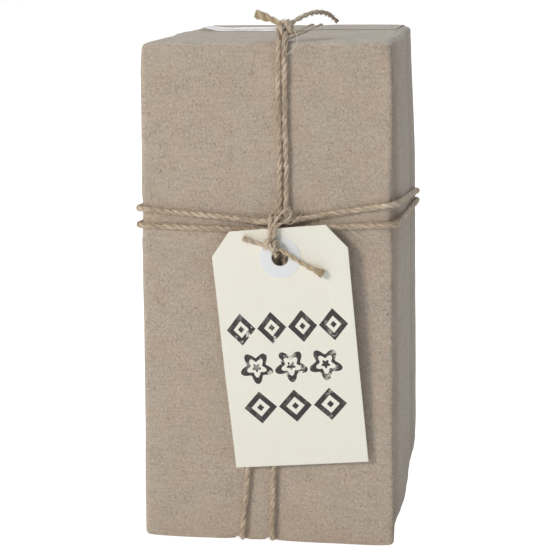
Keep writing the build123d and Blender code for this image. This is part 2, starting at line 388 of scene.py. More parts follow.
# The rounding of the folded edges, and the room that one more layer of paper takes.
EDGE = 2.0
LAYER = 0.3
TOP = PACK_HEIGHT - 2.0 * LAYER
BASE = 2.0 * LAYER
BACK = PACK_DEPTH / 2.0 - LAYER
# How close together the paper's points are, over the parcel and beside the grooves.
PAPER_STEP = 2.5
GROOVE_STEP = 0.5
GROOVE_DEPTH = 2.2
# The thickness of the tape's film.
FILM = 0.06
# Where the twine turns over an edge, and its two runs under the base.
CROSSINGS = [
    Vector(p) for p in PARCEL_ROUTE
    if abs(p[1]) > 60.5 and (abs(p[0]) > 45.5 or p[2] > 183.5 or p[2] < 1.5)
]
BASE_STRANDS = [((0.6, -60.9), (7.0, 60.9)), ((-10.6, -60.9), (2.0, 60.9))]


def lean(x, z):
    """The parcel is a little wider at its base than at its top."""
    right = x / PACK_WIDTH + 0.5
    up = z / PACK_HEIGHT
    return (1.0 - right) * (-2.2 + 3.8 * up) + right * (0.9 - 1.4 * up)


def groove(x, y):
    """How deep the twine presses into the base, in millimetres."""
    deepest = 0.0
    for (ax, ay), (bx, by) in BASE_STRANDS:
        middle = ax + (bx - ax) * (y - ay) / (by - ay)
        deepest = max(deepest, math.exp(-((x - middle) / 1.45) ** 4))
    return GROOVE_DEPTH * deepest


def relief(x, y, z):
    """How far the paper stands out of a true box, in millimetres."""
    place = Vector((x, y, z))
    # Soft hills and one faint crease, over all of it.
    out = 0.16 * noise.noise(place * 0.022) + 0.07 * noise.noise(place * 0.075)
    crease = 1.0 - min(1.0, 7.0 * abs(noise.noise(place * 0.017 + Vector((5.0, 3.0, 9.0)))))
    out -= 0.12 * crease
    # The two sides are hollow between their edges and uneven near the ends.
    side = span(abs(x), 41.0, 45.0)
    ends = math.exp(-z / 11.0) + math.exp(-(PACK_HEIGHT - z) / 11.0)
    out += side * ends * 0.4 * noise.noise(place * 0.11)
    sway = 4.0 * noise.noise(Vector((0.0, x * 0.01, z * 0.013)))
    if x > 0.0:
        out -= side * (1.35 * hump(y, -41.0 + sway, 13.0) - 0.35 * hump(y, -12.0 + sway, 9.0))
        out -= side * 0.5 * hump(y, 28.0 - sway, 12.0)
        out -= side * 0.6 * hump(y, -52.0, 4.0) * (0.7 + noise.noise(Vector((1.0, 2.0, z * 0.03))))
    else:
        out -= side * (0.9 * hump(y, -33.0 + sway, 18.0) + 0.5 * hump(y, 30.0 - sway, 15.0))
    # The front right edge stands out and waves, and the right side draws in towards the top.
    edge = side * span(-y, 50.0, 60.0) if x > 0.0 else 0.0
    out += 0.7 * edge * hump(z, 158.0, 18.0)
    if x > 0.0:
        out -= side * 1.7 * span(z, 124.0, 176.0) * span(y, -34.0, 52.0)
    out += edge * 0.55 * noise.noise(Vector((2.0, 7.0, z * 0.035)))
    # The corners are a little round, most of all the top one at the back right.
    corner = Vector(
        (PACK_WIDTH / 2.0 - abs(x), PACK_DEPTH / 2.0 - abs(y), min(z, PACK_HEIGHT - z)))
    soft = 1.6 if x > 0.0 and y > 0.0 and z > 90.0 else 0.35
    out -= soft * math.exp(-(corner.length / 5.0) ** 2)
    # The twine presses into the top, and into each edge that it turns over.
    if z > TOP - 1.0:
        pressed = max(hump(x, 5.3, 2.2), hump(x, 2.2 - 0.016 * y, 2.2))
        out -= 0.35 * pressed * span(y, -54.0, -42.0)
    for crossing in CROSSINGS:
        near = (place - crossing).length
        if near < 12.0:
            out -= (0.4 if z > 170.0 else 0.75) * math.exp(-(near / 3.4) ** 2)
            if z > 10.0:
                out += 0.12 * math.exp(-((near - 6.5) / 2.2) ** 2)
    return out


def away_from_box(p):
    """The direction out of the box at a place on it."""
    inner = Vector((
        min(max(p.x, EDGE - PACK_WIDTH / 2.0), PACK_WIDTH / 2.0 - EDGE),
        min(max(p.y, EDGE - PACK_DEPTH / 2.0), BACK - EDGE),
        min(max(p.z, BASE + EDGE), TOP - EDGE),
    ))
    return (p - inner).normalized()


def faces_under(bm):
    """The faces that look down, with their edges and corners."""
    faces = [f for f in bm.faces if f.normal.z < -0.9]
    found = dict.fromkeys(faces)
    for face in faces:
        found.update(dict.fromkeys(face.edges))
        found.update(dict.fromkeys(face.verts))
    return list(found)


def everything(bm):
    return bm.verts[:] + bm.edges[:] + bm.faces[:]


def sliced(bm, axis, places, dist, part=everything):
    """Cuts across a mesh, or a part of it, at each of the places along an axis."""
    facing = Vector((0.0, 0.0, 0.0))
    facing[axis] = 1.0
    for place in places:
        bmesh.ops.bisect_plane(
            bm, geom=part(bm), dist=dist, plane_co=facing * place, plane_no=facing)


def wrapping_paper(material):
    """The parcel's main wrap: a rounded box with the paper's soft dents and the twine's grooves."""
    bm = bmesh.new()
    bmesh.ops.create_cube(bm, size=1.0)
    bmesh.ops.scale(bm, vec=(PACK_WIDTH, PACK_DEPTH / 2.0 + BACK, TOP - BASE), verts=bm.verts)
    bmesh.ops.translate(
        bm, vec=(0.0, (BACK - PACK_DEPTH / 2.0) / 2.0, (TOP + BASE) / 2.0), verts=bm.verts)
    bmesh.ops.bevel(
        bm, geom=bm.edges[:], offset=EDGE, segments=4, profile=0.5, affect="EDGES", material=-1)
    half_width = PACK_WIDTH / 2.0
    half_depth = PACK_DEPTH / 2.0
    for axis, low, high in (
            (0, -half_width, half_width), (1, -half_depth, half_depth), (2, 0.0, PACK_HEIGHT)):
        cuts = round((high - low) / PAPER_STEP)
        sliced(bm, axis, [low + (high - low) * i / cuts for i in range(1, cuts)], 0.0001)
    sliced(bm, 0, [-12.0 + GROOVE_STEP * i for i in range(46)], 0.0001, faces_under)
    worn = bm.verts.layers.float.new("edge")
    # The second attribute holds the painted shade on the right side.
    dull = bm.verts.layers.float.new("dull")
    for v in bm.verts:
        p = v.co.copy()
        # Edges are rubbed, the front right one less. The right side gets bands of painted shade,
        # darkest towards its front, standing in for the shade in the hollows of its paper.
        gaps = sorted((
            half_width - abs(p.x), min(half_depth + p.y, BACK - p.y),
            min(p.z - BASE, TOP - p.z)))
        v[worn] = math.exp(-(gaps[1] / 1.5) ** 2)
        if p.x > 43.0 and p.y < -55.0:
            v[worn] *= 0.3
        side = span(p.x, 43.6, 45.0)
        uneven = 0.8 + 0.6 * noise.noise(Vector((6.0, 1.0, p.z * 0.03)))
        uneven += 0.5 * noise.noise(p * 0.09)
        shade_stripes = 0.25 * hump(p.y, -4.0, 7.0) + 0.4 * hump(p.y, 34.0, 9.0)
        v[dull] = side * (span(-p.y, 27.0, 40.0) + shade_stripes) * uneven
        out = away_from_box(p)
        v.co += out * relief(p.x, p.y, p.z)
        if p.z < 1.4:
            v.co.z += groove(p.x, p.y) * span(1.4 - p.z, 0.0, 0.5)
        v.co.x += lean(p.x, p.z)
    bmesh.ops.scale(bm, vec=(MM, MM, MM), verts=bm.verts)
    bmesh.ops.recalc_face_normals(bm, faces=bm.faces)
    mesh = mesh_from(bm, "wrapping_paper")
    keep("wrapping_paper", mesh, material, ["wrapped_pack"])


def thin_sheet(name, place, across, along, thickness, material, nodes=(), skin=None):
    """A thin sheet of paper or film. place turns two shares, from 0 to 1, into a spot in
    millimetres, and skin turns them into how rubbed the sheet is there."""
    bm = bmesh.new()
    bmesh.ops.create_grid(bm, x_segments=across, y_segments=along, size=0.5)
    worn = bm.verts.layers.float.new("edge")
    for v in bm.verts:
        u = v.co.x + 0.5
        t = v.co.y + 0.5
        v[worn] = skin(u, t) if skin else 0.0
        v.co = place(u, t)
    bmesh.ops.recalc_face_normals(bm, faces=bm.faces)
    bmesh.ops.solidify(bm, geom=bm.faces[:], thickness=thickness)
    bmesh.ops.scale(bm, vec=(MM, MM, MM), verts=bm.verts)
    bmesh.ops.recalc_face_normals(bm, faces=bm.faces)
    keep(name, mesh_from(bm, name, False), material, nodes)


def end_flaps(material):
    """The folded ends: on each end one flap goes down first and one is folded over it last."""

    def flap(hinge, free, half, taper, level, sink, lift, seed):
        """A flap from its hinge to its free edge. sink is the way into the parcel, up or down."""

        def place(u, t):
            t = t ** 0.8
            y = hinge + (free - hinge) * t
            reach = abs(free - hinge) * t
            x = (2.0 * u - 1.0) * (half - taper * t)
            rise = span(reach, 0.0, 6.0)
            z = level + sink * 0.45 * (1.0 - rise)
            edge = span(t, 0.86, 1.0) + 0.35 * t * span(abs(2.0 * u - 1.0), 0.9, 1.0)
            rise *= 1.0 - 0.7 * (1.0 - span(t, 0.0, 0.3)) * span(abs(2.0 * u - 1.0), 0.8, 1.0)
            wave = 0.5 + 0.5 * noise.noise(Vector((x * 0.05, seed, t)))
            z -= sink * lift * edge * wave * rise * (0.12 + 0.88 * span(-x, -6.0, 30.0))
            if sink < 0.0:
                z += relief(x, y, TOP)
            else:
                z = max(z, 0.06) + groove(x, y)
            y += 0.4 * noise.noise(Vector((x * 0.08, seed, 0.0)))
            return Vector((x + lean(x, z), y, z))

        return place

    def fold(u, t):
        return 0.8 * max(span(abs(2.0 * u - 1.0), 0.93, 1.0), span(t, 0.95, 1.0))

    for name, place, across, along, thickness in (
            ("top_first_flap", flap(
                hinge=-57.4, free=22.0, half=42.8, taper=2.5, level=TOP + 0.06, sink=-1.0,
                lift=0.05, seed=2.0), 60, 44, 0.1),
            ("top_last_flap", flap(
                hinge=57.4, free=16.0, half=40.8, taper=1.0, level=TOP + 0.15, sink=-1.0,
                lift=0.08, seed=8.0), 60, 36, 0.12),
            ("base_first_flap", flap(
                hinge=56.6, free=-8.0, half=42.4, taper=12.0, level=0.48, sink=1.0,
                lift=0.0, seed=4.0), 180, 40, 0.2),
            ("base_last_flap", flap(
                hinge=-56.6, free=14.0, half=42.2, taper=10.0, level=0.2, sink=1.0,
                lift=0.0, seed=6.0), 180, 44, 0.2)):
        thin_sheet(name, place, across, along, thickness, material, skin=fold)


def back_seam(material):
    """The outer end of the wrap, lying over the inner one on the back."""

    def place(u, t):
        x = -37.0 + 62.0 * u
        z = 1.6 + (PACK_HEIGHT - 3.2) * t
        ends = span(z, 1.6, 9.0) * span(PACK_HEIGHT - z, 1.6, 9.0)
        rise = span(u, 0.0, 0.14) * ends
        lift = 0.2 * span(u, 0.97, 1.0) * (0.5 + noise.noise(Vector((3.0, 0.0, z * 0.03))))
        y = BACK - 0.3 + 0.44 * rise + lift * ends + relief(x, BACK, z)
        x += lean(x, z) + 0.35 * noise.noise(Vector((0.0, 4.0, z * 0.05))) * u
        return Vector((x, y, z))

    thin_sheet(
        "back_overlap", place, 50, 90, 0.26, material,
        skin=lambda u, t: 0.8 * span(u, 0.97, 1.0))


def tapes(material):
    """Three short lengths of clear tape, each with a slightly rippled film."""

    def top_tape(u, t):
        x = -37.0 + 32.0 * u
        y = 6.5 + 19.0 * t
        z = TOP + 0.36 + 0.34 * span(y, 14.6, 16.4) + relief(x, y, TOP)
        z += 1.5 * (1.0 - span(u, 0.0, 0.3)) ** 2 * (0.35 + 0.65 * (1.0 - t))
        z += 0.07 * noise.noise(Vector((x * 0.16, y * 0.12, 1.0)))
        return Vector((x + lean(x, z), y, z))

    def base_tape(u, t):
        x = 8.0 + 32.0 * u
        y = 4.5 + 19.0 * t
        z = 0.1 + 0.02 * noise.noise(Vector((x * 0.2, y * 0.2, 5.0)))
        if y > 14.0:
            z += 0.18 * span(y, 14.0, 15.5)
        return Vector((x, y, z + groove(x, y)))

    def seam_tape(u, t):
        x = 15.5 + 19.0 * u
        z = 45.0 + 32.0 * t
        y = BACK + 0.38 - 0.3 * span(x, 24.9, 26.4) + relief(x, BACK, z)
        y += 0.05 * noise.noise(Vector((x * 0.2, z * 0.16, 9.0)))
        return Vector((x + lean(x, z), y, z))

    for name, place, node in (
            ("top_tape", top_tape, "top_end_tape"), ("base_tape", base_tape, "base_end_tape"),
            ("seam_tape", seam_tape, "back_seam_tape")):
        thin_sheet(name, place, 48, 32, FILM, material, [node])


# ---------------------------------------------------------------- tag

TAG_WIDE = 48.0
TAG_LONG = 87.0
# How far each top corner is cut off, across and down.
CUT_ACROSS = 7.0
CUT_DOWN = 8.5
# The hole's radius, and how far its middle is below the tag's top edge.
HOLE_RADIUS = 3.05
HOLE_DOWN = 10.4
# How close together the card's points are, so that it can bow.
CARD_STEP = 3.1
TAG_PLACE = (
    Matrix.Translation(Vector((4.8, -64.6, 118.7)))
    @ Matrix.Rotation(math.radians(-5.0), 4, "Y")
    @ Matrix.Rotation(math.radians(1.614), 4, "X")
)


def card(material):
    """The tag: a card with two cut corners and a round hole, bowed a little along its length."""
    half = TAG_WIDE / 2.0
    curve = bpy.data.curves.new("gift_card", "CURVE")
    curve.dimensions = "2D"
    curve.fill_mode = "BOTH"
    curve.extrude = 0.24
    curve.bevel_depth = 0.06
    curve.bevel_resolution = 1
    curve.resolution_u = 12
    outline = [
        (half - CUT_ACROSS, 0.0), (half, -CUT_DOWN), (half, -TAG_LONG), (-half, -TAG_LONG),
        (-half, -CUT_DOWN), (CUT_ACROSS - half, 0.0),
    ]
    spline = curve.splines.new("POLY")
    spline.points.add(len(outline) - 1)
    for point, place in zip(spline.points, outline):
        point.co = (place[0], place[1], 0.0, 1.0)
    spline.use_cyclic_u = True
    hole = curve.splines.new("BEZIER")
    hole.bezier_points.add(3)
    for point, (x, y) in zip(hole.bezier_points, ((1, 0), (0, 1), (-1, 0), (0, -1))):
        point.co = (HOLE_RADIUS * x, HOLE_RADIUS * y - HOLE_DOWN, 0.0)
        point.handle_left_type = "AUTO"
        point.handle_right_type = "AUTO"
    hole.use_cyclic_u = True
    mesh = curve_mesh(curve, "gift_card")
    bm = bmesh.new()
    bm.from_mesh(mesh)
    bpy.data.meshes.remove(mesh)
    bmesh.ops.remove_doubles(bm, verts=bm.verts, dist=0.001)
    sliced(bm, 1, [-CARD_STEP * i for i in range(1, 28)], 0.0005)
    sliced(bm, 0, [CARD_STEP * i - half for i in range(1, 16)], 0.0005)
    # The texture is the flat card in units of 100 millimetres.
    uv = bm.loops.layers.uv.verify()
    for face in bm.faces:
        for loop in face.loops:
            loop[uv].uv = (loop.vert.co.x / 100.0 + 0.5, -loop.vert.co.y / 100.0)
    bmesh.ops.rotate(
        bm, cent=(0, 0, 0), matrix=Matrix.Rotation(math.pi / 2.0, 3, "X"), verts=bm.verts)
    for v in bm.verts:
        down = -v.co.z / TAG_LONG
        v.co.y -= 0.3 + 0.75 * math.sin(math.pi * span(down, 0.14, 1.0)) ** 2
        v.co.y -= 0.5 * span(v.co.x, 14.0, half) * hump(down, 0.3, 0.22)
    bmesh.ops.transform(bm, matrix=Matrix.Scale(MM, 4) @ TAG_PLACE, verts=bm.verts)
    bmesh.ops.recalc_face_normals(bm, faces=bm.faces)
    keep("gift_card", mesh_from(bm, "gift_card", False), material, ["gift_tag"])


# ---------------------------------------------------------------- materials

def add(tree, kind, values=None, **settings):
    """A new node. Each of its values is a number, a colour or the socket that feeds it."""
    made = tree.nodes.new(kind)
    for key, value in settings.items():
        setattr(made, key, value)
    for key, value in (values or {}).items():
        if isinstance(value, bpy.types.NodeSocket):
            tree.links.new(value, made.inputs[key])
        else:
            made.inputs[key].default_value = value
    return made


def calc(tree, what, *values):
    return add(tree, "ShaderNodeMath", dict(enumerate(values)), operation=what).outputs[0]


def both_of(tree, first, second):
    return calc(tree, "MULTIPLY", first, second)


def between(tree, value, low, high):
    """1 where value is above low and below high, and 0 elsewhere."""
    above = calc(tree, "GREATER_THAN", value, low)
    return both_of(tree, calc(tree, "LESS_THAN", value, high), above)


def blend_colour(tree, share, first, second):
    """first where share is 0 and second where it is 1."""
    made = add(tree, "ShaderNodeMix", data_type="RGBA")
    for place, value in ((0, share), (6, first), (7, second)):
        if isinstance(value, bpy.types.NodeSocket):
            tree.links.new(value, made.inputs[place])
        else:
            made.inputs[place].default_value = value
    return made.outputs[2]


def ramp(tree, value, low, high):
    """value from low to high as 0 to 1, eased."""
    return add(
        tree, "ShaderNodeMapRange", {0: value, 1: low, 2: high},
        interpolation_type="SMOOTHSTEP").outputs[0]


def speckle(tree, vector, scale, detail=2.0, rough=0.5):
    made = add(
        tree, "ShaderNodeTexNoise",
        {"Vector": vector, "Scale": scale, "Detail": detail, "Roughness": rough})
    return made.outputs[0]


def turned(tree, vector, turn, stretch):
    """The same pattern turned, then drawn out by stretch along its own axes."""
    return add(
        tree, "ShaderNodeMapping",
        {"Vector": vector, "Rotation": [math.radians(a) for a in turn], "Scale": stretch},
        vector_type="TEXTURE").outputs[0]


def effect(name, inputs, outputs):
    """An empty node group with named inputs and outputs."""
    tree = bpy.data.node_groups.new(name, "ShaderNodeTree")
    for label, kind, value in inputs:
        socket = tree.interface.new_socket(label, in_out="INPUT", socket_type=kind)
        if value is not None:
            socket.default_value = value
    for label in outputs:
        tree.interface.new_socket(label, in_out="OUTPUT", socket_type="NodeSocketFloat")
    return tree, tree.nodes.new("NodeGroupInput").outputs, tree.nodes.new("NodeGroupOutput").inputs


def paper_grain():
    """Recycled pulp: soft clouds, dark and light fibres lying every way, and a fine tooth."""
    tree, given, out = effect(
        "paper grain",
        [("Vector", "NodeSocketVector", None), ("Fibres", "NodeSocketFloat", 0.66)],
        ["Cloud", "Dark fibres", "Light fibres", "Tooth"])
    place = given["Vector"]
    fine = speckle(tree, place, 1150.0, 3.0, 0.72)
    broad = speckle(tree, place, 120.0, 3.0, 0.6)
    cloud = calc(tree, "MULTIPLY_ADD", fine, 0.78, calc(tree, "MULTIPLY", broad, 0.22))
    tree.links.new(cloud, out["Cloud"])
    for label, turns in (
            ("Dark fibres", ((35, 20, 50), (-50, 70, 10), (80, -30, 65))),
            ("Light fibres", ((15, -60, 25), (60, 35, -40), (-20, 80, 75)))):
        total = None
        for turn in turns:
            lines = speckle(tree, turned(tree, place, turn, (7.0, 1.0, 1.0)), 2300.0, 1.0, 0.5)
            mask = ramp(tree, lines, given["Fibres"], calc(tree, "ADD", given["Fibres"], 0.07))
            total = mask if total is None else calc(tree, "MAXIMUM", total, mask)
        tree.links.new(total, out[label])
    tooth = calc(tree, "MULTIPLY_ADD", speckle(tree, place, 2100.0, 2.0, 0.6), 0.45, fine)
    tree.links.new(tooth, out["Tooth"])
    return tree


def twine_fibre():
    """Fibres that run along a strand, in light and dark bands."""
    tree, given, out = effect(
        "twine fibre", [("Vector", "NodeSocketVector", None)], ["Shade", "Height"])
    drawn = turned(tree, given["Vector"], (0, 0, 0), (10.0, 1.0, 1.0))
    lines = speckle(tree, drawn, 3000.0, 3.0, 0.6)
    drawn = turned(tree, given["Vector"], (0, 0, 0), (6.0, 1.0, 1.0))
    bands = speckle(tree, drawn, 520.0, 2.0, 0.5)
    shade = calc(tree, "MULTIPLY_ADD", lines, 0.6, calc(tree, "MULTIPLY", bands, 0.4))
    tree.links.new(shade, out["Shade"])
    tree.links.new(lines, out["Height"])
    return tree


def lozenge_row():
    """A row of outlined lozenges, each with a dot at its middle."""
    tree, given, out = effect(
        "lozenge row",
        [("Across", "NodeSocketFloat", 0.0), ("Down", "NodeSocketFloat", 0.0),
         ("Pitch", "NodeSocketFloat", 11.0), ("Count", "NodeSocketFloat", 4.0),
         ("Half height", "NodeSocketFloat", 5.6), ("Inside", "NodeSocketFloat", 0.52)],
        ["Ink"])
    share = calc(tree, "DIVIDE", given["Across"], given["Pitch"])
    begun = calc(tree, "MULTIPLY_ADD", given["Count"], 0.5, share)
    tile = calc(tree, "SUBTRACT", calc(tree, "FRACT", begun), 0.5)
    wide = calc(tree, "MULTIPLY", calc(tree, "ABSOLUTE", tile), 2.12)
    tall = calc(tree, "DIVIDE", calc(tree, "ABSOLUTE", given["Down"]), given["Half height"])
    far = calc(tree, "ADD", wide, tall)
    ring = between(tree, far, given["Inside"], 1.0)
    dot = calc(tree, "LESS_THAN", far, 0.22)
    within = between(tree, begun, 0.0, given["Count"])
    tree.links.new(both_of(tree, calc(tree, "MAXIMUM", ring, dot), within), out["Ink"])
    return tree


def petal_row():
    """A row of outlined flowers of five petals."""
    tree, given, out = effect(
        "petal row",
        [("Across", "NodeSocketFloat", 0.0), ("Down", "NodeSocketFloat", 0.0),
         ("Pitch", "NodeSocketFloat", 12.4), ("Count", "NodeSocketFloat", 3.0),
         ("Radius", "NodeSocketFloat", 6.2), ("Petals", "NodeSocketFloat", 5.0)],
        ["Ink"])
    share = calc(tree, "DIVIDE", given["Across"], given["Pitch"])
    begun = calc(tree, "MULTIPLY_ADD", given["Count"], 0.5, share)
    middle = calc(tree, "SUBTRACT", calc(tree, "FRACT", begun), 0.5)
    tile = calc(tree, "MULTIPLY", middle, given["Pitch"])
    angle = calc(tree, "ARCTAN2", tile, given["Down"])
    wave = calc(tree, "COSINE", calc(tree, "MULTIPLY", angle, given["Petals"]))
    reach = calc(tree, "MULTIPLY", calc(tree, "MULTIPLY_ADD", wave, 0.2, 0.78), given["Radius"])
    height = calc(tree, "MULTIPLY", given["Down"], given["Down"])
    square = calc(tree, "MULTIPLY_ADD", tile, tile, height)
    far = calc(tree, "DIVIDE", calc(tree, "SQRT", square), reach)
    ring = between(tree, far, 0.6, 1.0)
    dot = calc(tree, "LESS_THAN", far, 0.27)
    within = between(tree, begun, 0.0, given["Count"])
    tree.links.new(both_of(tree, calc(tree, "MAXIMUM", ring, dot), within), out["Ink"])
    return tree


def finish_of(name, colour, **values):
    """A material with one Principled shader, ready for its colour and bump."""
    material = bpy.data.materials.new(name)
    material.use_nodes = True
    material.diffuse_color = colour
    tree = material.node_tree
    tree.nodes.clear()
    shader = tree.nodes.new("ShaderNodeBsdfPrincipled")
    output = tree.nodes.new("ShaderNodeOutputMaterial")
    tree.links.new(shader.outputs[0], output.inputs["Surface"])
    shader.inputs["Base Color"].default_value = colour
    for key, value in values.items():
        shader.inputs[key.replace("_", " ")].default_value = value
    return material, tree, shader


def bumped(tree, shader, height, strength, distance):
    made = add(
        tree, "ShaderNodeBump",
        {"Height": height, "Strength": strength, "Distance": distance})
    tree.links.new(made.outputs[0], shader.inputs["Normal"])


def grain_in(tree, grain, fibres):
    made = tree.nodes.new("ShaderNodeGroup")
    made.node_tree = grain
    made.inputs["Fibres"].default_value = fibres
    tree.links.new(tree.nodes.new("ShaderNodeTexCoord").outputs["Object"], made.inputs["Vector"])
    return made.outputs


def kraft_finish(grain):
    """Recycled kraft paper: pulp with patches, streaks, specks, painted shade in bands on the right
    side, and rubbed edges.
    """
    material, tree, shader = finish_of(
        "kraft paper", (0.47, 0.4, 0.325, 1.0), Specular_IOR_Level=0.25)
    pulp = grain_in(tree, grain, 0.66)
    place = tree.nodes.new("ShaderNodeTexCoord").outputs["Object"]
    cloud = ramp(tree, pulp["Cloud"], 0.34, 0.66)
    warm = ramp(tree, speckle(tree, place, 95.0, 3.0, 0.6), 0.38, 0.64)
    askew = turned(tree, place, (50, 10, 30), (1.6, 1.0, 1.0))
    green = ramp(tree, speckle(tree, askew, 110.0), 0.5, 0.7)
    level = turned(tree, place, (0, 0, 0), (6.0, 6.0, 1.0))
    streak = ramp(tree, speckle(tree, level, 900.0, 3.0, 0.6), 0.42, 0.72)
    grit = ramp(tree, speckle(tree, place, 1500.0, 1.0, 0.4), 0.73, 0.76)
    scattered = turned(tree, place, (20, 70, 40), (1.5, 1.0, 1.0))
    soot = ramp(tree, speckle(tree, scattered, 1200.0, 1.0, 0.4), 0.73, 0.76)
    # The painted shade on the right side, from the paper's second attribute.
    dull = add(tree, "ShaderNodeAttribute", attribute_name="dull").outputs["Fac"]
    worn = add(tree, "ShaderNodeAttribute", attribute_name="edge").outputs["Fac"]
    colour = blend_colour(tree, cloud, (0.43, 0.35, 0.28, 1.0), (0.6, 0.51, 0.425, 1.0))
    for mask, strength, tone in (
            (warm, 0.3, (0.6, 0.44, 0.34, 1.0)),
            (green, 0.22, (0.46, 0.45, 0.37, 1.0)),
            (streak, 0.26, (0.3, 0.24, 0.185, 1.0)),
            (grit, 0.6, (0.9, 0.84, 0.74, 1.0)),
            (soot, 0.55, (0.12, 0.08, 0.055, 1.0)),
            # Painted shade: the right side's bands turn darker brown.
            (dull, 0.62, (0.3, 0.21, 0.14, 1.0)),
            (pulp["Dark fibres"], 0.5, (0.2, 0.145, 0.1, 1.0)),
            (pulp["Light fibres"], 0.45, (0.72, 0.65, 0.56, 1.0)),
            (both_of(tree, worn, cloud), 0.3, (0.66, 0.59, 0.5, 1.0))):
        colour = blend_colour(tree, calc(tree, "MULTIPLY", mask, strength), colour, tone)
    tree.links.new(colour, shader.inputs["Base Color"])
    rough = calc(tree, "MULTIPLY_ADD", pulp["Cloud"], 0.25, 0.66)
    tree.links.new(rough, shader.inputs["Roughness"])
    bumped(tree, shader, pulp["Tooth"], 0.35, 0.00012)
    return material


def twine_finish(fibre, name, dark, light):
    """Laid jute, with fibres along its strands."""
    material, tree, shader = finish_of(name, light, Specular_IOR_Level=0.3)
    made = tree.nodes.new("ShaderNodeGroup")
    made.node_tree = fibre
    tree.links.new(tree.nodes.new("ShaderNodeTexCoord").outputs["UV"], made.inputs["Vector"])
    shade = ramp(tree, made.outputs["Shade"], 0.32, 0.66)
    colour = blend_colour(tree, shade, dark, light)
    tree.links.new(colour, shader.inputs["Base Color"])
    tree.links.new(calc(tree, "MULTIPLY_ADD", shade, -0.2, 0.8), shader.inputs["Roughness"])
    bumped(tree, shader, made.outputs["Height"], 0.6, 0.00015)
    return material


def hair_finish(grain, name, dark, light):
    """Loose fibres, some lighter than others."""
    material, tree, shader = finish_of(name, light, Roughness=0.6, Specular_IOR_Level=0.3)
    pulp = grain_in(tree, grain, 0.62)
    colour = blend_colour(tree, pulp["Cloud"], dark, light)
    tree.links.new(colour, shader.inputs["Base Color"])
    return material


def card_finish(grain, lozenges, petals):
    """Cream card with three rows of ornaments in worn black ink."""
    material, tree, shader = finish_of(
        "cream card", (0.86, 0.8, 0.66, 1.0), Specular_IOR_Level=0.3)
    pulp = grain_in(tree, grain, 0.72)
    cloud = ramp(tree, pulp["Cloud"], 0.25, 0.75)
    colour = blend_colour(tree, cloud, (0.96, 0.93, 0.825, 1.0), (0.985, 0.965, 0.875, 1.0))
    parts = add(
        tree, "ShaderNodeSeparateXYZ",
        {0: tree.nodes.new("ShaderNodeTexCoord").outputs["UV"]}).outputs
    # Back to millimetres from the middle, and down from the top edge.
    across = calc(tree, "MULTIPLY_ADD", parts[0], 100.0, -50.0)
    down = calc(tree, "MULTIPLY", parts[1], 100.0)
    ink = None
    for group, middle, settings in (
            (lozenges, 35.4, {"Pitch": 11.0, "Count": 4.0, "Half height": 5.8, "Inside": 0.53}),
            (petals, 49.6, {"Pitch": 12.4, "Count": 3.0, "Radius": 6.2}),
            (lozenges, 64.6, {"Pitch": 12.6, "Count": 3.0, "Half height": 6.1, "Inside": 0.56})):
        made = tree.nodes.new("ShaderNodeGroup")
        made.node_tree = group
        tree.links.new(across, made.inputs["Across"])
        tree.links.new(calc(tree, "SUBTRACT", down, middle), made.inputs["Down"])
        for key, value in settings.items():
            made.inputs[key].default_value = value
        ink = made.outputs[0] if ink is None else calc(tree, "MAXIMUM", ink, made.outputs[0])
    place = tree.nodes.new("ShaderNodeTexCoord").outputs["Object"]
    blotch = speckle(tree, place, 330.0, 4.0, 0.7)
    worn = ramp(tree, blotch, 0.36, 0.46)
    patch = ramp(tree, speckle(tree, place, 60.0, 2.0, 0.5), 0.36, 0.56)
    pressed = calc(
        tree, "MAXIMUM", calc(tree, "MULTIPLY", worn, 0.96), calc(tree, "MULTIPLY", patch, 0.9))
    solid = both_of(tree, ink, pressed)
    colour = blend_colour(tree, solid, colour, (0.018, 0.017, 0.018, 1.0))
    tree.links.new(colour, shader.inputs["Base Color"])
    tree.links.new(calc(tree, "MULTIPLY_ADD", pulp["Cloud"], 0.2, 0.55), shader.inputs["Roughness"])
    bumped(tree, shader, pulp["Tooth"], 0.12, 0.00008)
    return material


def ring_finish(grain):
    """The smooth white paper of the ring round the tag's hole."""
    material, tree, shader = finish_of(
        "ring paper", (0.84, 0.86, 0.88, 1.0), Roughness=0.55, Specular_IOR_Level=0.35)
    pulp = grain_in(tree, grain, 0.75)
    colour = blend_colour(tree, pulp["Cloud"], (0.86, 0.885, 0.92, 1.0), (0.92, 0.935, 0.955, 1.0))
    tree.links.new(colour, shader.inputs["Base Color"])
    bumped(tree, shader, pulp["Tooth"], 0.1, 0.00006)
    return material


def tape_finish():
    """Clear film, a little hazy and rippled."""
    material, tree, shader = finish_of(
        "clear tape", (0.88, 0.9, 0.92, 1.0), Specular_IOR_Level=0.7, Coat_Weight=1.0,
        Coat_Roughness=0.05)
    place = tree.nodes.new("ShaderNodeTexCoord").outputs["Object"]
    haze = speckle(tree, place, 150.0, 3.0, 0.6)
    # It is nearly clear from straight on and gleams when it is seen along its surface.
    facing = add(tree, "ShaderNodeLayerWeight", {"Blend": 0.5}).outputs["Facing"]
    clear = calc(tree, "MULTIPLY_ADD", haze, 0.2, 0.1)
    gleam = calc(tree, "MULTIPLY_ADD", calc(tree, "POWER", facing, 4.0), 0.62, clear)
    tree.links.new(gleam, shader.inputs["Alpha"])
    tree.links.new(calc(tree, "MULTIPLY_ADD", haze, 0.2, 0.06), shader.inputs["Roughness"])
    bumped(tree, shader, speckle(tree, place, 90.0, 2.0, 0.5), 0.25, 0.0004)
    return material


# ---------------------------------------------------------------- room, light and camera

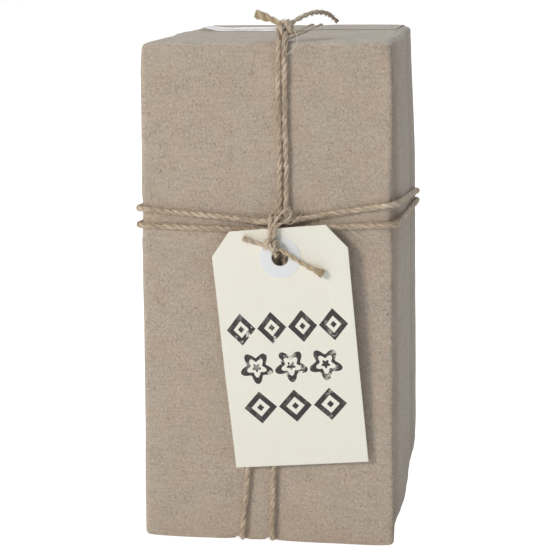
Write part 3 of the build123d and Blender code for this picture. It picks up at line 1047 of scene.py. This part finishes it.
def room():
    """A pale floor six metres in radius, under an even white sky."""
    bm = bmesh.new()
    bmesh.ops.create_circle(bm, cap_ends=True, segments=64, radius=6.0)
    floor = bpy.data.objects.new("floor", mesh_from(bm, "floor"))
    bpy.context.scene.collection.objects.link(floor)
    material, tree, shader = finish_of("pale floor", (0.9, 0.9, 0.9, 1.0), Roughness=0.9)
    shader.inputs["Emission Color"].default_value = (1.0, 1.0, 1.0, 1.0)
    straight = tree.nodes.new("ShaderNodeLightPath").outputs["Is Camera Ray"]
    glow = calc(tree, "MULTIPLY_ADD", straight, 0.66, 0.16)
    tree.links.new(glow, shader.inputs["Emission Strength"])
    floor.data.materials.append(material)
    world = bpy.data.worlds.new("studio")
    bpy.context.scene.world = world
    world.use_nodes = True
    tree = world.node_tree
    tree.nodes.clear()
    rays = tree.nodes.new("ShaderNodeLightPath").outputs
    seen = calc(tree, "MAXIMUM", rays["Is Camera Ray"], rays["Is Glossy Ray"])
    strength = calc(tree, "MULTIPLY_ADD", seen, 0.78, 0.22)
    tint = blend_colour(tree, seen, (0.94, 0.98, 1.0, 1.0), (1.0, 1.0, 1.0, 1.0))
    light = add(tree, "ShaderNodeBackground", {"Color": tint, "Strength": strength})
    output = tree.nodes.new("ShaderNodeOutputWorld")
    tree.links.new(light.outputs[0], output.inputs["Surface"])


def lamp(name, place, size, watts, colour):
    """A square lamp, in metres, that points at the middle of the parcel."""
    light = bpy.data.lights.new(name, "AREA")
    light.shape = "SQUARE"
    light.size = size
    light.energy = watts
    light.color = colour
    aim = Vector((0.0, 0.0, 0.09)) - Vector(place)
    holder = bpy.data.objects.new(name, light)
    holder.location = place
    holder.rotation_euler = aim.to_track_quat("-Z", "Y").to_euler()
    bpy.context.scene.collection.objects.link(holder)


def camera():
    """The camera, in front of the parcel, a little to the right and above."""
    place = Vector((82.9, -551.8, 212.7)) * MM
    yaw = math.radians(-7.87)
    pitch = math.radians(-11.52)
    roll = math.radians(-0.51)
    ahead = Vector((
        math.sin(yaw) * math.cos(pitch), math.cos(yaw) * math.cos(pitch), math.sin(pitch)))
    level = Vector((math.cos(yaw), -math.sin(yaw), 0.0))
    upright = level.cross(ahead)
    right = level * math.cos(roll) + upright * math.sin(roll)
    up = upright * math.cos(roll) - level * math.sin(roll)
    data = bpy.data.cameras.new("camera")
    data.lens = 93.1
    data.sensor_width = 36.0
    data.shift_x = -0.05
    data.shift_y = -0.06
    data.clip_start = 0.01
    data.clip_end = 20.0
    holder = bpy.data.objects.new("camera", data)
    frame_of = Matrix((right, up, -ahead)).transposed().to_4x4()
    holder.matrix_world = Matrix.Translation(place) @ frame_of
    bpy.context.scene.collection.objects.link(holder)
    bpy.context.scene.camera = holder


# ---------------------------------------------------------------- the parcel

camera()
room()
lamp("key", (-0.95, -1.15, 0.7), size=0.4, watts=11.4, colour=(1.0, 0.93, 0.85))
lamp("above", (0.1, 0.3, 1.7), size=1.2, watts=13.5, colour=(0.72, 0.87, 1.0))
bpy.context.scene.view_settings.view_transform = "Standard"

grain = paper_grain()
fibre = twine_fibre()
kraft = kraft_finish(grain)
jute = twine_finish(fibre, "jute twine", (0.31, 0.215, 0.145, 1.0), (0.88, 0.745, 0.595, 1.0))
golden_jute = twine_finish(fibre, "cut jute twine", (0.42, 0.3, 0.17, 1.0), (0.78, 0.64, 0.44, 1.0))
loose = hair_finish(grain, "loose fibre", (0.52, 0.4, 0.28, 1.0), (0.84, 0.73, 0.57, 1.0))
pale = hair_finish(grain, "pale fibre", (0.66, 0.57, 0.44, 1.0), (0.86, 0.79, 0.66, 1.0))
cream = card_finish(grain, lozenge_row(), petal_row())
ring_white = ring_finish(grain)
film = tape_finish()

parcel_line = route_line("parcel_line", PARCEL_ROUTE)
keep("parcel_twine_laid", laid_twine("parcel_twine_laid", parcel_line, TWINE, seed=3),
     jute, ["parcel_twine"])

left_line, left_mesh = tail(
    "top_tail_left", LEFT_TAIL_ROUTE, seed=11, flare=0.0, swell=0.75, count=150, reach=2.9,
    spread=0.1)
keep("top_tail_left", left_mesh, golden_jute, ["knot_tail_left"])
right_line, right_mesh = tail(
    "top_tail_right", RIGHT_TAIL_ROUTE, seed=12, flare=0.1, swell=-0.15, count=14, reach=2.6,
    spread=0.2, diameter=1.75)
right_tail = keep("top_tail_right", right_mesh, jute, ["knot_tail_right"])
right_path, right_length = even_line(right_line, 0.5 * MM)

string_lines = tied("tag_string_laid", "tag_string", jute, [
    ("tag_string", STRING_ROUTE, 1.7, 5, 0.62),
    ("tag_loop", LOOP_ROUTE, 1.6, 6, 0.62),
    ("crossing_loop", CROSSING_LOOP, 1.15, 7, 0.62),
])
tag_left_line, tag_left_mesh = tail(
    "tag_cut_left", TAG_LEFT_ROUTE, seed=13, flare=0.2, swell=0.1, count=24, reach=2.4,
    spread=0.2, diameter=1.6)
keep("tag_cut_left", tag_left_mesh, jute, ["tag_tail_left"])
tag_right_line, tag_right_mesh = tail(
    "tag_cut_right", TAG_RIGHT_ROUTE, seed=14, flare=0.35, swell=0.2, count=90, reach=3.4,
    spread=0.3, diameter=1.5)
keep("tag_cut_right", tag_right_mesh, golden_jute, ["tag_tail_right"])

top_lines = tied("top_knot_tied", "top_knot", jute, [
    ("top_wrap", TOP_KNOT_WRAP, 2.0, 21, 0.4),
    ("top_strap", TOP_KNOT_STRAP, 2.0, 22, 0.4),
])
tag_lines = tied("tag_knot_tied", "tag_knot", jute, [
    ("tag_wrap", TAG_KNOT_WRAP, 1.8, 23, 0.4),
    ("tag_strap", TAG_KNOT_STRAP, 1.8, 24, 0.4),
])

wrapping_paper(kraft)
end_flaps(kraft)
back_seam(kraft)
tapes(film)
card(cream)
# The ring round the hole is the CAD's own solid.
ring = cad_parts["hole_ring"]
ring.data.materials.clear()
ring.data.materials.append(ring_white)


def no_hair(p):
    """Whether a hair at p would run into the paper or the card, or stand up on the top."""
    spot = p / MM
    wide, deep, high = PACK_WIDTH / 2.0 + 0.2, PACK_DEPTH / 2.0 + 0.2, PACK_HEIGHT + 0.2
    if abs(spot.x) < wide and abs(spot.y) < deep and spot.z < high:
        return True
    if abs(spot.x) < 8.5 and spot.y > -46.0 and spot.z > PACK_HEIGHT + 0.8:
        return True
    card_spot = TAG_PLACE.inverted() @ spot
    on_card = abs(card_spot.x) < TAG_WIDE / 2.0 and 1.0 - TAG_LONG < card_spot.z < 0.5
    return on_card and -1.6 < card_spot.y < 0.4


strays = tube_curve("stray_fibres", STRAY_RADIUS * MM, 0)
for stray in STRAY_FIBRES:
    stray_line = route_line("stray_line", stray)
    add_line(strays, stray_line, [1.0] * len(stray_line))
keep("stray_fibres", curve_mesh(strays, "stray_fibres"), pale)
fibres = surface_fibres("twine_fibres", parcel_line, per_metre=2900.0, seed=30)
keep("twine_fibres", fibres, loose)
fuzz = hairs("twine_fuzz", [parcel_line], per_metre=3600.0, reach=2.5, seed=31, keep_off=no_hair)
keep("twine_fuzz", fuzz, loose)
short_lines = [left_line, right_line, *string_lines, tag_left_line, tag_right_line]
knot_fuzz = hairs(
    "knot_fuzz", short_lines + top_lines + tag_lines, per_metre=3300.0, reach=2.0, seed=32,
    keep_off=no_hair)
keep("knot_fuzz", knot_fuzz, loose)
